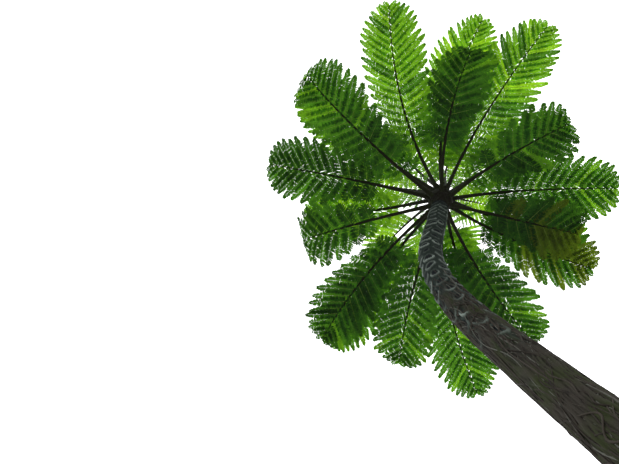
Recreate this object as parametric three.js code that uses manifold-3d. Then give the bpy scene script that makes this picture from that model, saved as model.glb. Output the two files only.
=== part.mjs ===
// A tree fern about ten metres tall, in millimetres, with +Z up.
// The origin is on the flat cut under its trunk, at ground level.
//
// The trunk leans in a slow S and flares into a mantle of roots at its foot. The crown head
// on top of it carries the fronds in five whorls, with young coiled fronds at the apex.
// Each frond is a bare stalk that rises, arches over and droops, with a thin blade whose
// outline is cut to the rib between its leaflets. It is made in two lengths that meet
// halfway along the arch, or in one where it is young and still upright.

import * as THREE from 'three';
import Module from 'manifold-3d';

const wasm = await Module();
wasm.setup();

const UP = new THREE.Vector3(0, 0, 1);

// Gap that pieces keep where one is seated on another
const CLEARANCE = 0.3;

// Trunk: points on its centre line from the ground to its top, and its sizes
const TRUNK_SPINE = [
  [0, 0, 0],
  [-50, -50, 2000],
  [-130, -140, 3800],
  [-270, -320, 5300],
  [-260, -580, 6300],
  [0, -900, 7200],
  [165, -1090, 7745],
];
const TRUNK_TOP_RADIUS = 104;
const TRUNK_TAPER = 0.0042;
const FLARE_RADIUS = 130;
const FLARE_HEIGHT = 420;
const ROOT_LOBES = 7;
const ROOT_LOBE_DEPTH = 0.07;
const ROOT_LOBE_HEIGHT = 700;
const TRUNK_SIDES = 21;
const TRUNK_RINGS = 26;
const TRUNK_RING_CROWDING = 1.5;

// Crown head: heights above the trunk's top and the radius at each
const HEAD_PROFILE = [
  [0, 104],
  [90, 122],
  [190, 148],
  [330, 158],
  [460, 142],
  [570, 104],
  [650, 58],
  [690, 22],
];
const HEAD_SIDES = 16;

// Whorls of fronds: height on the head, and how steeply a frond leaves and ends, in degrees
const WHORLS = {
  low: { height: 160, rise: 40, fall: -60, stalk: 850 },
  mid: { height: 280, rise: 42, fall: -43, stalk: 850 },
  high: { height: 380, rise: 47, fall: -29, stalk: 850 },
  top: { height: 450, rise: 52, fall: -17, stalk: 600 },
  young: { height: 585, rise: 74, fall: 26, stalk: 250 },
};

// Fronds: whorl, bearing from +X towards +Y, sweep of the bearing to the tip, and length
const FRONDS = [
  ['low', -133, -7, 2650],
  ['low', -80, 1, 2150],
  ['low', -34, 4, 2060],
  ['low', 8, 10, 1950],
  ['low', 166, -2, 2000],
  ['mid', -161, -13, 2500],
  ['mid', -10, 12, 2600],
  ['mid', 26, -5, 2450],
  ['mid', 54, 3, 2500],
  ['mid', 99, 7, 2450],
  ['mid', 133, -8, 2650],
  ['high', -107, 10, 3200],
  ['high', -55, -2, 3350],
  ['high', 14, 6, 2400],
  ['high', 79, -7, 3300],
  ['high', 122, 4, 2800],
  ['top', -136, -5, 2850],
  ['top', -81, 17, 3350],
  ['top', 165, 14, 2050],
  ['top', 62, 6, 2600],
  ['top', -26, -6, 2600],
  ['young', -166, 8, 2200],
  ['young', -113, -8, 2100],
  ['young', -54, -6, 2200],
  ['young', 3, 6, 2000],
  ['young', 43, 4, 2100],
  ['young', 87, 2, 2200],
  ['young', 127, -3, 2200],
];
const FROND_START = 100;
const ARC_STEPS = 60;
const ARC_POWER = 1.4;
const ROLL_SWING = 6;
const GOLDEN_ANGLE = 137.5;

// Stalk and rib of a frond: width where it starts and the share of it lost by the tip. Its
// section's shoulders, belly and keel are shares of its half width.
const RIB_WIDTH = 60;
const RIB_TAPER = 0.85;
const STALK_SHOULDER = 0.8;
const STALK_BELLY = -0.3;
const LEAST_KEEL = 6.5;
const STALK_RINGS = 5;
const SPLIT_FRACTION = 0.56;

// Leaflets: their spacing and size, the angle they make with the rib where the blade starts
// and how far that has closed at the tip, and how their length grows and ends along it
const LEAFLET_PITCH = 178;
const LEAFLET_THICKNESS = 8;
const LEAFLET_BASE_LENGTH = 280;
const LEAFLET_LENGTH_PER_FROND = 0.11;
const LEAFLET_ROOT = 0.5;
const LEAFLET_FULLNESS = 0.78;
const LEAFLET_DROOP = 0.12;
const LEAFLET_MARGIN = 3;
const LEAFLET_ANGLE = 84;
const LEAFLET_CLOSING = 44;
const LEAFLET_CLOSING_POWER = 0.75;
const FIRST_LEAFLET = 0.42;
const FULL_FROM = 0.55;
const FULL_UNTIL = 0.58;
const END_SPAN = 0.45;
const END_POWER = 2.2;

// Coiled young fronds at the apex: bearing, lean from upright and height of the stalk
const CROZIERS = [
  [-82, 14, 520],
  [23, 20, 400],
  [106, 9, 640],
];
const CROZIER_SPREAD = 25;
const CROZIER_RADIUS = 17;
const CROZIER_TIP_RADIUS = 9;
const COIL_RADIUS = 66;
const COIL_SHRINK = 0.56;
const COIL_TURNS = 1.4;
const CROZIER_SIDES = 6;
const CROZIER_STALK_RINGS = 4;
const CROZIER_COIL_RINGS = 18;

const MATERIALS = {
  trunk: finish(0x3b3c37, 0.95),
  head: finish(0x2c2a22, 0.95),
  frond: finish(0x3f7a1c, 0.6),
  crozier: finish(0x5b4a26, 0.9),
};

function finish(color, roughness) {
  return new THREE.MeshStandardMaterial({ color, roughness, metalness: 0, flatShading: true });
}

function smoothstep(value) {
  return THREE.MathUtils.smoothstep(value, 0, 1);
}

// Collects points and triangles of one closed surface
class Surface {
  constructor() {
    this.points = [];
    this.triangles = [];
  }

  add(point) {
    this.points.push(point.x, point.y, point.z);
    return this.points.length / 3 - 1;
  }

  addRing(ring) {
    return ring.map((point) => this.add(point));
  }

  triangle(a, b, c) {
    this.triangles.push(a, b, c);
  }

  quad(a, b, c, d) {
    this.triangle(a, b, c);
    this.triangle(a, c, d);
  }

  // Closes a convex ring with a fan from its first point
  cap(ring, facesBack) {
    for (let i = 1; i < ring.length - 1; i++) {
      if (facesBack) {
        this.triangle(ring[0], ring[i + 1], ring[i]);
      } else {
        this.triangle(ring[0], ring[i], ring[i + 1]);
      }
    }
  }

  solid() {
    return new wasm.Manifold(new wasm.Mesh({
      numProp: 3,
      vertProperties: new Float32Array(this.points),
      triVerts: new Uint32Array(this.triangles),
    }));
  }
}

// A closed skin over rings of points that turn left round the direction of travel
function loft(rings) {
  const surface = new Surface();
  const indexed = rings.map((ring) => surface.addRing(ring));
  for (let k = 0; k < indexed.length - 1; k++) {
    const near = indexed[k];
    const far = indexed[k + 1];
    near.forEach((corner, i) => {
      const next = (i + 1) % near.length;
      surface.quad(corner, near[next], far[next], far[i]);
    });
  }
  surface.cap(indexed[0], true);
  surface.cap(indexed[indexed.length - 1], false);
  return surface;
}

// A round ring about a centre, square to an axis, with radiusAt giving the radius by angle
function roundRing(centre, axis, sides, radiusAt) {
  const east = new THREE.Vector3(1, 0, 0).addScaledVector(axis, -axis.x).normalize();
  const north = axis.clone().cross(east);
  return Array.from({ length: sides }, (_, i) => {
    const angle = (2 * Math.PI * i) / sides;
    return centre.clone()
      .addScaledVector(east, radiusAt(angle) * Math.cos(angle))
      .addScaledVector(north, radiusAt(angle) * Math.sin(angle));
  });
}

function solidToMesh(solid, name, material) {
  const { vertProperties, triVerts } = solid.getMesh();
  const geometry = new THREE.BufferGeometry();
  geometry.setAttribute('position', new THREE.BufferAttribute(vertProperties, 3));
  geometry.setIndex(new THREE.BufferAttribute(triVerts, 1));
  const mesh = new THREE.Mesh(geometry, material);
  mesh.name = name;
  return mesh;
}

// The trunk's centre line, and the head's axis that carries it on
const spine = new THREE.CatmullRomCurve3(
  TRUNK_SPINE.map((point) => new THREE.Vector3(...point)),
  false,
  'catmullrom',
  0.5,
);
const headBase = spine.getPoint(1);
const headAxis = spine.getTangent(1);

// Radius of the trunk: a slight taper, and a flare and root lobes that fade with height
function trunkRadius(height, angle) {
  const plain = TRUNK_TOP_RADIUS + TRUNK_TAPER * (headBase.z - height);
  const flare = FLARE_RADIUS * Math.exp(-height / FLARE_HEIGHT);
  const lobes = ROOT_LOBE_DEPTH * Math.exp(-height / ROOT_LOBE_HEIGHT);
  return (plain + flare) * (1 + lobes * Math.cos(ROOT_LOBES * angle));
}

// Rings lie closer together at the foot, where the flare is, and the first one is level
function makeTrunk() {
  const rings = [];
  for (let k = 0; k <= TRUNK_RINGS; k++) {
    const along = (k / TRUNK_RINGS) ** TRUNK_RING_CROWDING;
    const centre = spine.getPoint(along);
    const axis = UP.clone().lerp(spine.getTangent(along), smoothstep(centre.z / FLARE_HEIGHT));
    axis.normalize();
    rings.push(roundRing(centre, axis, TRUNK_SIDES, (angle) => trunkRadius(centre.z, angle)));
  }
  return solidToMesh(loft(rings).solid(), 'trunk', MATERIALS.trunk);
}

// The head, grown by a margin all over where it is used to cut what is seated on it
function headSolid(grown) {
  const rings = HEAD_PROFILE.map(([height, radius], k) => {
    const last = k === HEAD_PROFILE.length - 1;
    const lift = last ? CLEARANCE + grown : CLEARANCE - (k === 0 ? grown : 0);
    const centre = headBase.clone().addScaledVector(headAxis, height + lift);
    return roundRing(centre, headAxis, HEAD_SIDES, () => radius + grown);
  });
  return loft(rings).solid();
}

const headCutter = headSolid(CLEARANCE);

// Direction of a frond's rib at a fraction of its length: its slope eases from the whorl's
// rise to its fall while its bearing sweeps round
function ribDirection(frond, fraction) {
  const slope = frond.rise - (frond.rise - frond.fall) * fraction ** ARC_POWER;
  const elevation = THREE.MathUtils.degToRad(slope);
  const bearing = THREE.MathUtils.degToRad(frond.bearing + frond.sweep * fraction);
  return new THREE.Vector3(
    Math.cos(elevation) * Math.cos(bearing),
    Math.cos(elevation) * Math.sin(bearing),
    Math.sin(elevation),
  );
}

// Points along the rib, one step of the direction after another from inside the head
function ribArc(frond) {
  const bearing = THREE.MathUtils.degToRad(frond.bearing);
  const start = headBase.clone().addScaledVector(headAxis, frond.height);
  start.x += FROND_START * Math.cos(bearing);
  start.y += FROND_START * Math.sin(bearing);
  const arc = [start];
  for (let step = 0; step < ARC_STEPS; step++) {
    const direction = ribDirection(frond, (step + 0.5) / ARC_STEPS);
    arc.push(arc[step].clone().addScaledVector(direction, frond.length / ARC_STEPS));
  }
  return arc;
}

// Place on the rib at a distance from its start, with its forward, right and top directions
function ribFrame(frond, distance) {
  const fraction = THREE.MathUtils.clamp(distance / frond.length, 0, 1);
  const step = Math.min(Math.floor(fraction * ARC_STEPS), ARC_STEPS - 1);
  const forward = ribDirection(frond, fraction);
  const right = forward.clone().cross(UP).normalize().applyAxisAngle(forward, frond.roll);
  const top = right.clone().cross(forward);
  const centre = frond.arc[step].clone().lerp(frond.arc[step + 1], fraction * ARC_STEPS - step);
  return { centre, forward, right, top };
}

// Five corners of the rib's section: a flat top, two sides that carry leaflets and a keel.
// The sides are tall on the bare stalk and as thin as a leaflet along the blade.
function ribSection(frond, distance) {
  const { centre, right, top } = ribFrame(frond, distance);
  const half = (RIB_WIDTH / 2) * (1 - (RIB_TAPER * distance) / frond.length);
  const bladed = smoothstep((distance - frond.stalk + LEAFLET_PITCH) / LEAFLET_PITCH);
  const edge = LEAFLET_THICKNESS / 2;
  const shoulder = THREE.MathUtils.lerp(STALK_SHOULDER * half, edge, bladed);
  const belly = THREE.MathUtils.lerp(STALK_BELLY * half, -edge, bladed);
  const keel = -Math.max(half, LEAST_KEEL);
  const corner = (across, above) => centre.clone()
    .addScaledVector(right, across)
    .addScaledVector(top, above);
  return [
    corner(half, shoulder),
    corner(half, belly),
    corner(0, keel),
    corner(-half, belly),
    corner(-half, shoulder),
  ];
}

// Leaflet length along the blade, from 0 where it starts to 1 at the tip: short at first,
// longest past the middle, and falling away fast to a blunt end
function leafletProfile(along) {
  const growing = FIRST_LEAFLET + (1 - FIRST_LEAFLET) * smoothstep(along / FULL_FROM);
  const ending = 1 - Math.max(0, (along - FULL_UNTIL) / END_SPAN) ** END_POWER;
  return growing * ending;
}

// One leaflet as an outline of five points. It leaves the rib almost squarely near the stalk
// and leans towards the tip further out.
function makeLeaflet(frond, index, side) {
  const middle = frond.stalk + (index + 0.5) * frond.pitch;
  const along = (middle - frond.stalk) / (frond.length - frond.stalk);
  const closed = LEAFLET_CLOSING * along ** LEAFLET_CLOSING_POWER;
  const lean = THREE.MathUtils.degToRad(LEAFLET_ANGLE - closed);
  const length = leafletProfile(along)
    * (LEAFLET_BASE_LENGTH + LEAFLET_LENGTH_PER_FROND * frond.length);
  const near = middle - (LEAFLET_ROOT / 2) * frond.pitch;
  const far = middle + (LEAFLET_ROOT / 2) * frond.pitch;
  const { forward, right, top } = ribFrame(frond, middle);
  const outward = right.clone().multiplyScalar(side);
  const reach = forward.clone().multiplyScalar(Math.cos(lean))
    .addScaledVector(outward, Math.sin(lean));
  const across = forward.clone().multiplyScalar(Math.sin(lean))
    .addScaledVector(outward, -Math.cos(lean));
  const width = LEAFLET_FULLNESS * frond.pitch * Math.sin(lean);
  const rootCorner = side > 0 ? 0 : 4;
  const nearRoot = ribSection(frond, near)[rootCorner];
  const farRoot = ribSection(frond, far)[rootCorner];
  const root = nearRoot.clone().lerp(farRoot, 0.5);
  const place = (out, over) => root.clone()
    .addScaledVector(reach, out * length)
    .addScaledVector(across, over * width)
    .addScaledVector(top, -LEAFLET_DROOP * length * out ** 2);
  return {
    side, near, far, top,
    outline: [nearRoot, place(0.5, -0.5), place(1, 0), place(0.62, 0.5), farRoot],
  };
}

// A leaflet alone, thicker than it is by a margin, to test what it would touch
function leafletProbe(leaflet) {
  const { outline, top } = leaflet;
  const surface = new Surface();
  const lift = (point, distance) => surface.add(point.clone().addScaledVector(top, distance));
  const depth = -LEAFLET_THICKNESS - LEAFLET_MARGIN;
  const roots = [outline[0], outline[4]];
  const [nearTop, farTop] = roots.map((point) => lift(point, LEAFLET_MARGIN));
  const [nearBelow, farBelow] = roots.map((point) => lift(point, depth));
  addLeaflet(surface, leaflet, LEAFLET_MARGIN, nearTop, nearBelow, farTop, farBelow);
  if (leaflet.side > 0) {
    surface.quad(nearTop, farTop, farBelow, nearBelow);
  } else {
    surface.quad(nearTop, nearBelow, farBelow, farTop);
  }
  return surface.solid();
}

function makeFrond([whorl, bearing, sweep, length], index) {
  const frond = { ...WHORLS[whorl], young: whorl === 'young', bearing, sweep, length };
  const roll = ROLL_SWING * Math.sin(THREE.MathUtils.degToRad(index * GOLDEN_ANGLE));
  frond.roll = THREE.MathUtils.degToRad(roll);
  frond.arc = ribArc(frond);
  frond.pairs = Math.round((length - frond.stalk) / LEAFLET_PITCH);
  frond.pitch = (length - frond.stalk) / frond.pairs;
  frond.leaflets = [];
  for (let pair = 0; pair < frond.pairs; pair++) {
    frond.leaflets.push(makeLeaflet(frond, pair, 1), makeLeaflet(frond, pair, -1));
  }
  frond.rib = loft(ribStations(frond, 0, length).map((at) => ribSection(frond, at))).solid();
  return frond;
}

// Distances at which the rib has a section between two places on it
function ribStations(frond, from, to) {
  const stations = [from];
  for (let ring = 1; ring < STALK_RINGS; ring++) {
    stations.push((ring / STALK_RINGS) * frond.stalk);
  }
  for (let pair = 0; pair < frond.pairs; pair++) {
    const middle = frond.stalk + (pair + 0.5) * frond.pitch;
    stations.push(middle - (LEAFLET_ROOT / 2) * frond.pitch);
    stations.push(middle + (LEAFLET_ROOT / 2) * frond.pitch);
  }
  const inside = stations.filter((at, k) => k === 0 || (at > from + 1 && at < to - 1));
  return [...inside, to];
}

// One length of a frond as a single skin: the rib's sections joined by its faces, where a
// leaflet's two faces and edges take the place of the rib's side between its two roots
function frondLength(frond, from, to) {
  const surface = new Surface();
  const stations = ribStations(frond, from, to);
  const rings = stations.map((at) => surface.addRing(ribSection(frond, at)));
  const rootedAt = (near, side) => frond.leaflets.find((leaflet) => leaflet.kept
    && leaflet.side === side && Math.abs(leaflet.near - near) < 1);
  for (let k = 0; k < rings.length - 1; k++) {
    const near = rings[k];
    const far = rings[k + 1];
    surface.quad(near[1], near[2], far[2], far[1]);
    surface.quad(near[2], near[3], far[3], far[2]);
    surface.quad(near[4], near[0], far[0], far[4]);
    const right = rootedAt(stations[k], 1);
    if (right) {
      addLeaflet(surface, right, 0, near[0], near[1], far[0], far[1]);
    } else {
      surface.quad(near[0], near[1], far[1], far[0]);
    }
    const left = rootedAt(stations[k], -1);
    if (left) {
      addLeaflet(surface, left, 0, near[4], near[3], far[4], far[3]);
    } else {
      surface.quad(near[3], near[4], far[4], far[3]);
    }
  }
  surface.cap(rings[0], true);
  surface.cap(rings[rings.length - 1], false);
  return surface.solid();
}

// The upper face, lower face and edges of a leaflet, rooted on four corners of the rib, with
// both faces moved out by a margin
function addLeaflet(surface, leaflet, margin, nearTop, nearBelow, farTop, farBelow) {
  const moved = (distance) => surface.addRing(leaflet.outline.slice(1, 4)
    .map((point) => point.clone().addScaledVector(leaflet.top, distance)));
  const upper = [nearTop, ...moved(margin), farTop];
  const lower = [nearBelow, ...moved(-LEAFLET_THICKNESS - margin), farBelow];
  const turns = leaflet.side < 0;
  const face = (a, b, c) => (turns ? surface.triangle(a, c, b) : surface.triangle(a, b, c));
  const faces = [[0, 1, 4], [1, 3, 4], [1, 2, 3]];
  for (const [a, b, c] of faces) {
    face(upper[a], upper[b], upper[c]);
    face(lower[a], lower[c], lower[b]);
  }
  for (let k = 0; k < upper.length - 1; k++) {
    face(upper[k], lower[k], lower[k + 1]);
    face(upper[k], lower[k + 1], upper[k + 1]);
  }
}

function boxOf(solid) {
  const { min, max } = solid.boundingBox();
  return new THREE.Box3(new THREE.Vector3(...min), new THREE.Vector3(...max));
}

function touches(a, b) {
  return a.box.intersectsBox(b.box) && a.solid.intersect(b.solid).volume() > 0;
}

// Keeps each leaflet that touches no other frond's rib and no leaflet kept before it
function chooseLeaflets(fronds, limbs) {
  const kept = [];
  const ribs = fronds.map((frond) => ({ solid: frond.rib, box: boxOf(frond.rib), frond }));
  const obstacles = [...ribs, ...limbs];
  for (const frond of fronds) {
    for (const leaflet of frond.leaflets) {
      const solid = leafletProbe(leaflet);
      const probe = { solid, box: boxOf(solid), frond };
      const blocked = [...obstacles, ...kept]
        .some((other) => other.frond !== frond && touches(probe, other));
      leaflet.kept = !blocked;
      if (leaflet.kept) {
        kept.push(probe);
      }
    }
  }
}

// Where a frond is parted: midway between two pairs of leaflets, past the top of its arch
function splitDistance(frond) {
  const pair = Math.round((SPLIT_FRACTION * frond.length - frond.stalk) / frond.pitch);
  return frond.stalk + pair * frond.pitch;
}

function frondMeshes(frond, index) {
  const name = `frond_${String(index + 1).padStart(2, '0')}`;
  if (frond.young) {
    const whole = frondLength(frond, 0, frond.length).subtract(headCutter);
    return [solidToMesh(whole, name, MATERIALS.frond)];
  }
  const split = splitDistance(frond);
  const inner = frondLength(frond, 0, split - CLEARANCE / 2).subtract(headCutter);
  const outer = frondLength(frond, split + CLEARANCE / 2, frond.length);
  return [
    solidToMesh(inner, `${name}_inner`, MATERIALS.frond),
    solidToMesh(outer, `${name}_outer`, MATERIALS.frond),
  ];
}

// A coiled young frond: a stalk that leans out a little and rolls up on itself at its end
function makeCrozier([bearing, lean, height], index) {
  const heading = THREE.MathUtils.degToRad(bearing);
  const tilt = THREE.MathUtils.degToRad(lean);
  const outward = new THREE.Vector3(Math.cos(heading), Math.sin(heading), 0);
  const along = outward.clone().multiplyScalar(Math.sin(tilt)).addScaledVector(UP, Math.cos(tilt));
  const over = outward.clone().multiplyScalar(Math.cos(tilt)).addScaledVector(UP, -Math.sin(tilt));
  const foot = headBase.clone().addScaledVector(headAxis, WHORLS.young.height)
    .addScaledVector(outward, CROZIER_SPREAD);
  const path = [];
  for (let step = 0; step < CROZIER_STALK_RINGS; step++) {
    path.push(foot.clone().addScaledVector(along, (height * step) / CROZIER_STALK_RINGS));
  }
  const hub = foot.clone().addScaledVector(along, height).addScaledVector(over, -COIL_RADIUS);
  for (let step = 0; step <= CROZIER_COIL_RINGS; step++) {
    const turned = (COIL_TURNS * step) / CROZIER_COIL_RINGS;
    const radius = COIL_RADIUS * COIL_SHRINK ** turned;
    const angle = 2 * Math.PI * turned;
    path.push(hub.clone()
      .addScaledVector(over, radius * Math.cos(angle))
      .addScaledVector(along, radius * Math.sin(angle)));
  }
  const normal = over.clone().cross(along);
  const rings = path.map((centre, k) => {
    const before = path[Math.max(k - 1, 0)];
    const after = path[Math.min(k + 1, path.length - 1)];
    const forward = after.clone().sub(before).normalize();
    const aside = normal.clone().cross(forward);
    const radius = THREE.MathUtils.lerp(CROZIER_RADIUS, CROZIER_TIP_RADIUS, k / path.length);
    return Array.from({ length: CROZIER_SIDES }, (_, i) => {
      const angle = (2 * Math.PI * i) / CROZIER_SIDES;
      return centre.clone()
        .addScaledVector(normal, radius * Math.sin(angle))
        .addScaledVector(aside, radius * Math.cos(angle));
    });
  });
  const solid = loft(rings).solid().subtract(headCutter);
  return { solid, box: boxOf(solid), name: `crozier_${index + 1}` };
}

// The whole plant
const fern = new THREE.Group();
fern.add(makeTrunk());
fern.add(solidToMesh(headSolid(0), 'crown_head', MATERIALS.head));

const croziers = CROZIERS.map(makeCrozier);
const fronds = FRONDS.map(makeFrond);
chooseLeaflets(fronds, croziers);
const foliage = new THREE.Group();
fronds.forEach((frond, index) => foliage.add(...frondMeshes(frond, index)));
croziers.forEach(({ solid, name }) => foliage.add(solidToMesh(solid, name, MATERIALS.crozier)));
fern.add(foliage);

export default fern;
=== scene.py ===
"""Dresses the tree fern's solids for close viewing.

The trunk gets its frond scars and its mantle of thin roots, the stalk bases and the coiled
fronds get their scales, and each frond grows again by the rule of its solid, down to the
lobes of its leaflets. Lengths are metres and angles degrees.
"""

from functools import partial

import bpy
import numpy as np
from bpy.props import FloatProperty, FloatVectorProperty, IntProperty, PointerProperty
from mathutils import Matrix, Vector


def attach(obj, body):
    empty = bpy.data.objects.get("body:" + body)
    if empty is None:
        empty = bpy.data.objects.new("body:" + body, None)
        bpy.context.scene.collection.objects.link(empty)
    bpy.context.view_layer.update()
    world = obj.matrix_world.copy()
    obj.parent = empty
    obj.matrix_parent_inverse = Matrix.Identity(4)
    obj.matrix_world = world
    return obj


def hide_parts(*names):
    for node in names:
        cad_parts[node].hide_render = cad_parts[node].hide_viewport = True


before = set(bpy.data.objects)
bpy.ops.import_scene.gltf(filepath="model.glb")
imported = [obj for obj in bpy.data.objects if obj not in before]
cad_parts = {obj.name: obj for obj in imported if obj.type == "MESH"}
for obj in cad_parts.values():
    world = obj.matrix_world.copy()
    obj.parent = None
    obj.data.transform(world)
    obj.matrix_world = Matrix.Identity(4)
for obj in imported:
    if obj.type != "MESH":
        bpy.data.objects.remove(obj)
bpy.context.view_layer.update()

bl_info = {
    "name": "Tree Fern",
    "version": (1, 0, 0),
    "blender": (4, 5, 0),
    "location": "3D View > Sidebar > Tree Fern",
    "description": "Grows the bark, fronds and coiled young fronds of a tree fern",
    "category": "Add Mesh",
}

# A full turn, and the directions of +X, +Y and +Z
TURN = 2 * np.pi
EAST, NORTH, UP = np.eye(3)

# Trunk's centre line from the ground to its top, and how many steps it is looked up in
TRUNK_SPINE = np.array([
    (0, 0, 0), (-0.05, -0.05, 2), (-0.13, -0.14, 3.8), (-0.27, -0.32, 5.3),
    (-0.26, -0.58, 6.3), (0, -0.9, 7.2), (0.165, -1.09, 7.745),
])
SPINE_STEPS = 800

# Trunk's radius at its top and growth for each metre below, the flare of its foot, and the
# ridges over its main roots
TRUNK_TOP_RADIUS = 0.104
TRUNK_TAPER = 0.0042
FLARE_RADIUS = 0.13
FLARE_HEIGHT = 0.42
ROOT_LOBES = 7
ROOT_LOBE_DEPTH = 0.07
ROOT_LOBE_HEIGHT = 0.7

# Frond scars: how many a rank climbs in a turn, growth of their pitch for each metre below the
# trunk's top, how many of a rank differ, and heights of rim, face, bundle marks, foot and fibres
SCAR_CLIMB = 3
SCAR_STRETCH = 0.042
SCAR_KINDS = 127
SCAR_RIM = 0.009
SCAR_FACE = -0.005
SCAR_BUNDLES = 0.003
SCAR_FOOT = 0.009
FIBRE_HEIGHT = 0.002

# How far below the crown head the bark is darkened as painted shade of the crown
CROWN_SHADE_STRETCH = 0.3

# Layers of matted roots: ropes above the setting, sideways wander and rise. Then the width of
# a rope over its spacing, and how far ropes and the hollows between them lie in the bark
ROOT_LAYERS = ((0, 0.6, 0), (-7, 1, 0.003), (11, 0.45, -0.002))
ROPE_WIDTH = 0.94
ROPE_SUNK = 0.006
HOLLOW_DEPTH = 0.012

# Height where the two pieces of bark meet, and the rings in each
BARK_JOIN = 3.1
FOOT_RINGS = 420
STEM_RINGS = 515

# Loose rootlets: rings of one, shortest and longest, start of the highest above the height where
# roots start, and how far one lifts off the bark
ROOTLET_RINGS = 30
ROOTLET_LENGTHS = (0.35, 1.5)
ROOTLET_START = 0.35
ROOTLET_LIFT = 0.012

# Crown head: heights above the trunk's top and the radius at each, its rings and their points,
# height of its lumps over the radius, and how far it lies inside the solid
HEAD_HEIGHTS = np.array([0, 0.09, 0.19, 0.33, 0.46, 0.57, 0.65, 0.69])
HEAD_RADII = np.array([0.104, 0.122, 0.148, 0.158, 0.142, 0.104, 0.058, 0.022])
HEAD_RINGS = 90
HEAD_COLUMNS = 96
HEAD_LUMPS = 0.03
HEAD_SUNK = 0.004

# Whorls: height on the head, slope where a frond leaves it and at its tip, bare stalk, and the
# droop and width of its leaflets over the settings: the oldest hang, the youngest are narrow
WHORLS = {
    "low": (0.16, 40, -60, 0.85, 1.7, 1.1),
    "mid": (0.28, 42, -43, 0.85, 1.4, 1.1),
    "high": (0.38, 47, -29, 0.85, 1.1, 1.0),
    "top": (0.45, 52, -17, 0.6, 1.0, 0.95),
    "young": (0.585, 74, 26, 0.25, 0.9, 0.72),
}

# Fronds: whorl, bearing from +X towards +Y, sweep of the bearing to the tip, length, and middle
# leaf tone, a step of painted light and shade: fronds that stand under others are given darker
# tones as painted shade and open ones lighter as painted light. On the whole a whorl is lighter
# than the older one below it, partly by age and partly as painted light
FRONDS = [
    ("low", -133, -7, 2.65, 1.0),
    ("low", -80, 1, 2.15, 0.6),
    ("low", -34, 4, 2.06, 0.8),
    ("low", 8, 10, 1.95, 0.5),
    ("low", 166, -2, 2.0, 0.5),
    ("mid", -161, -13, 2.5, 0.2),
    ("mid", -10, 12, 2.6, 1.2),
    ("mid", 26, -5, 2.45, 0.9),
    ("mid", 54, 3, 2.5, 0.8),
    ("mid", 99, 7, 2.45, 0.9),
    ("mid", 133, -8, 2.65, 0.5),
    ("high", -107, 10, 3.2, 1.9),
    ("high", -55, -2, 3.35, 2.1),
    ("high", 14, 6, 2.4, 1.5),
    ("high", 79, -7, 3.3, 1.2),
    ("high", 122, 4, 2.8, 1.3),
    ("top", -136, -5, 2.85, 1.4),
    ("top", -81, 17, 3.35, 2.1),
    ("top", 165, 14, 2.05, 2.2),
    ("top", 62, 6, 2.6, 1.8),
    ("top", -26, -6, 2.6, 1.6),
    ("young", -166, 8, 2.2, 2.6),
    ("young", -113, -8, 2.1, 2.3),
    ("young", -54, -6, 2.2, 2.5),
    ("young", 3, 6, 2.0, 2.7),
    ("young", 43, 4, 2.1, 2.4),
    ("young", 87, 2, 2.2, 2.6),
    ("young", 127, -3, 2.2, 2.5),
]

# Stalks and ribs: start from the head's axis, steps and bend of the arc, roll from frond to
# frond, width at the start and the share of it lost to the tip
FROND_START = 0.1
ARC_STEPS = 60
ARC_POWER = 1.4
ROLL_SWING = 6
GOLDEN_ANGLE = 137.5
RIB_WIDTH = 0.06
RIB_TAPER = 0.85

# Rings of a stalk, how much thicker it starts and over what length, and its section: corners,
# height over width, and height of the middle of its grooved upper side
STALK_RINGS = 72
STALK_SWELL = 0.3
SWELL_LENGTH = 0.12
STALK_CORNERS = 12
STALK_FLATNESS = 0.9
STALK_GROOVE = 0.55

# Leaflets: length and its growth with the frond, angle to the rib, how it closes to the tip
# and strays, crowding to the tip, and the outline that they give the blade
LEAFLET_BASE_LENGTH = 0.28
LEAFLET_LENGTH_PER_FROND = 0.11
LEAFLET_ANGLE = 84
LEAFLET_CLOSING = 44
LEAFLET_CLOSING_POWER = 0.75
LEAFLET_ANGLE_STRAY = 1.5
LEAFLET_CROWDING = 0.2
FIRST_LEAFLET = 0.42
FULL_FROM = 0.55
FULL_UNTIL = 0.58
END_SPAN = 0.45
END_POWER = 2.2

# Stagger of a pair of leaflets or lobes over their pitch, and how far out on the half width of
# the rib leaflets root
PAIR_STAGGER = 0.12
LEAFLET_ROOTING = 0.7

# Rib of a leaflet half a metre long: its radius, the share of it lost to the tip, and rings
LEAFLET_RIB_RADIUS = 0.0042
LEAFLET_RIB_TAPER = 0.82
LEAFLET_RIB_RINGS = 8

# Points that are compared to keep leaflets apart, along a leaflet, a rib and a coiled frond
LEAFLET_SAMPLES = 7
RIB_SAMPLES = 90
COIL_SAMPLES = 40

# Outline of a lobe of a leaflet: share of its length, and half width over its widest half. Then
# fold, tilt and stray of the tilt over the half width, and sag and bend of the tip over the length
LOBE_OUTLINE = np.array([
    (0.0, 0.6), (0.13, 0.95), (0.28, 0.84), (0.43, 1.0), (0.57, 0.8), (0.71, 0.84), (0.86, 0.46),
    (1.0, 0.0),
])
LOBE_FOLD = 0.15
LOBE_TILT = 0.07
LOBE_TILT_STRAY = 0.06
LOBE_SAG = 0.14
LOBE_SICKLE = 0.12

# Lobes along a leaflet: place of the first pair and stray over the pitch, angle to the rib,
# its opening at the root and closing to the tip, and how far angle and dip stray
LOBE_START = 0.4
LOBE_STRAY = 0.05
LOBE_ANGLE = 74
LOBE_OPENING = 16
LOBE_CLOSING = 45
LOBE_ANGLE_STRAY = 2.5
LOBE_DIP_STRAY = 4

# Outline of a leaflet as lobe lengths over the longest: where it starts, from what share of the
# leaflet it is full, the power that rounds its end, and what even the last lobe has
FIRST_LOBE = 0.8
LOBES_FULL_FROM = 0.14
LOBES_END_POWER = 0.75
LAST_LOBE = 0.06

# Width of the lobes of the first leaflets of a blade over that of the lobes half way along it
LOBES_APART = 0.92

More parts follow.
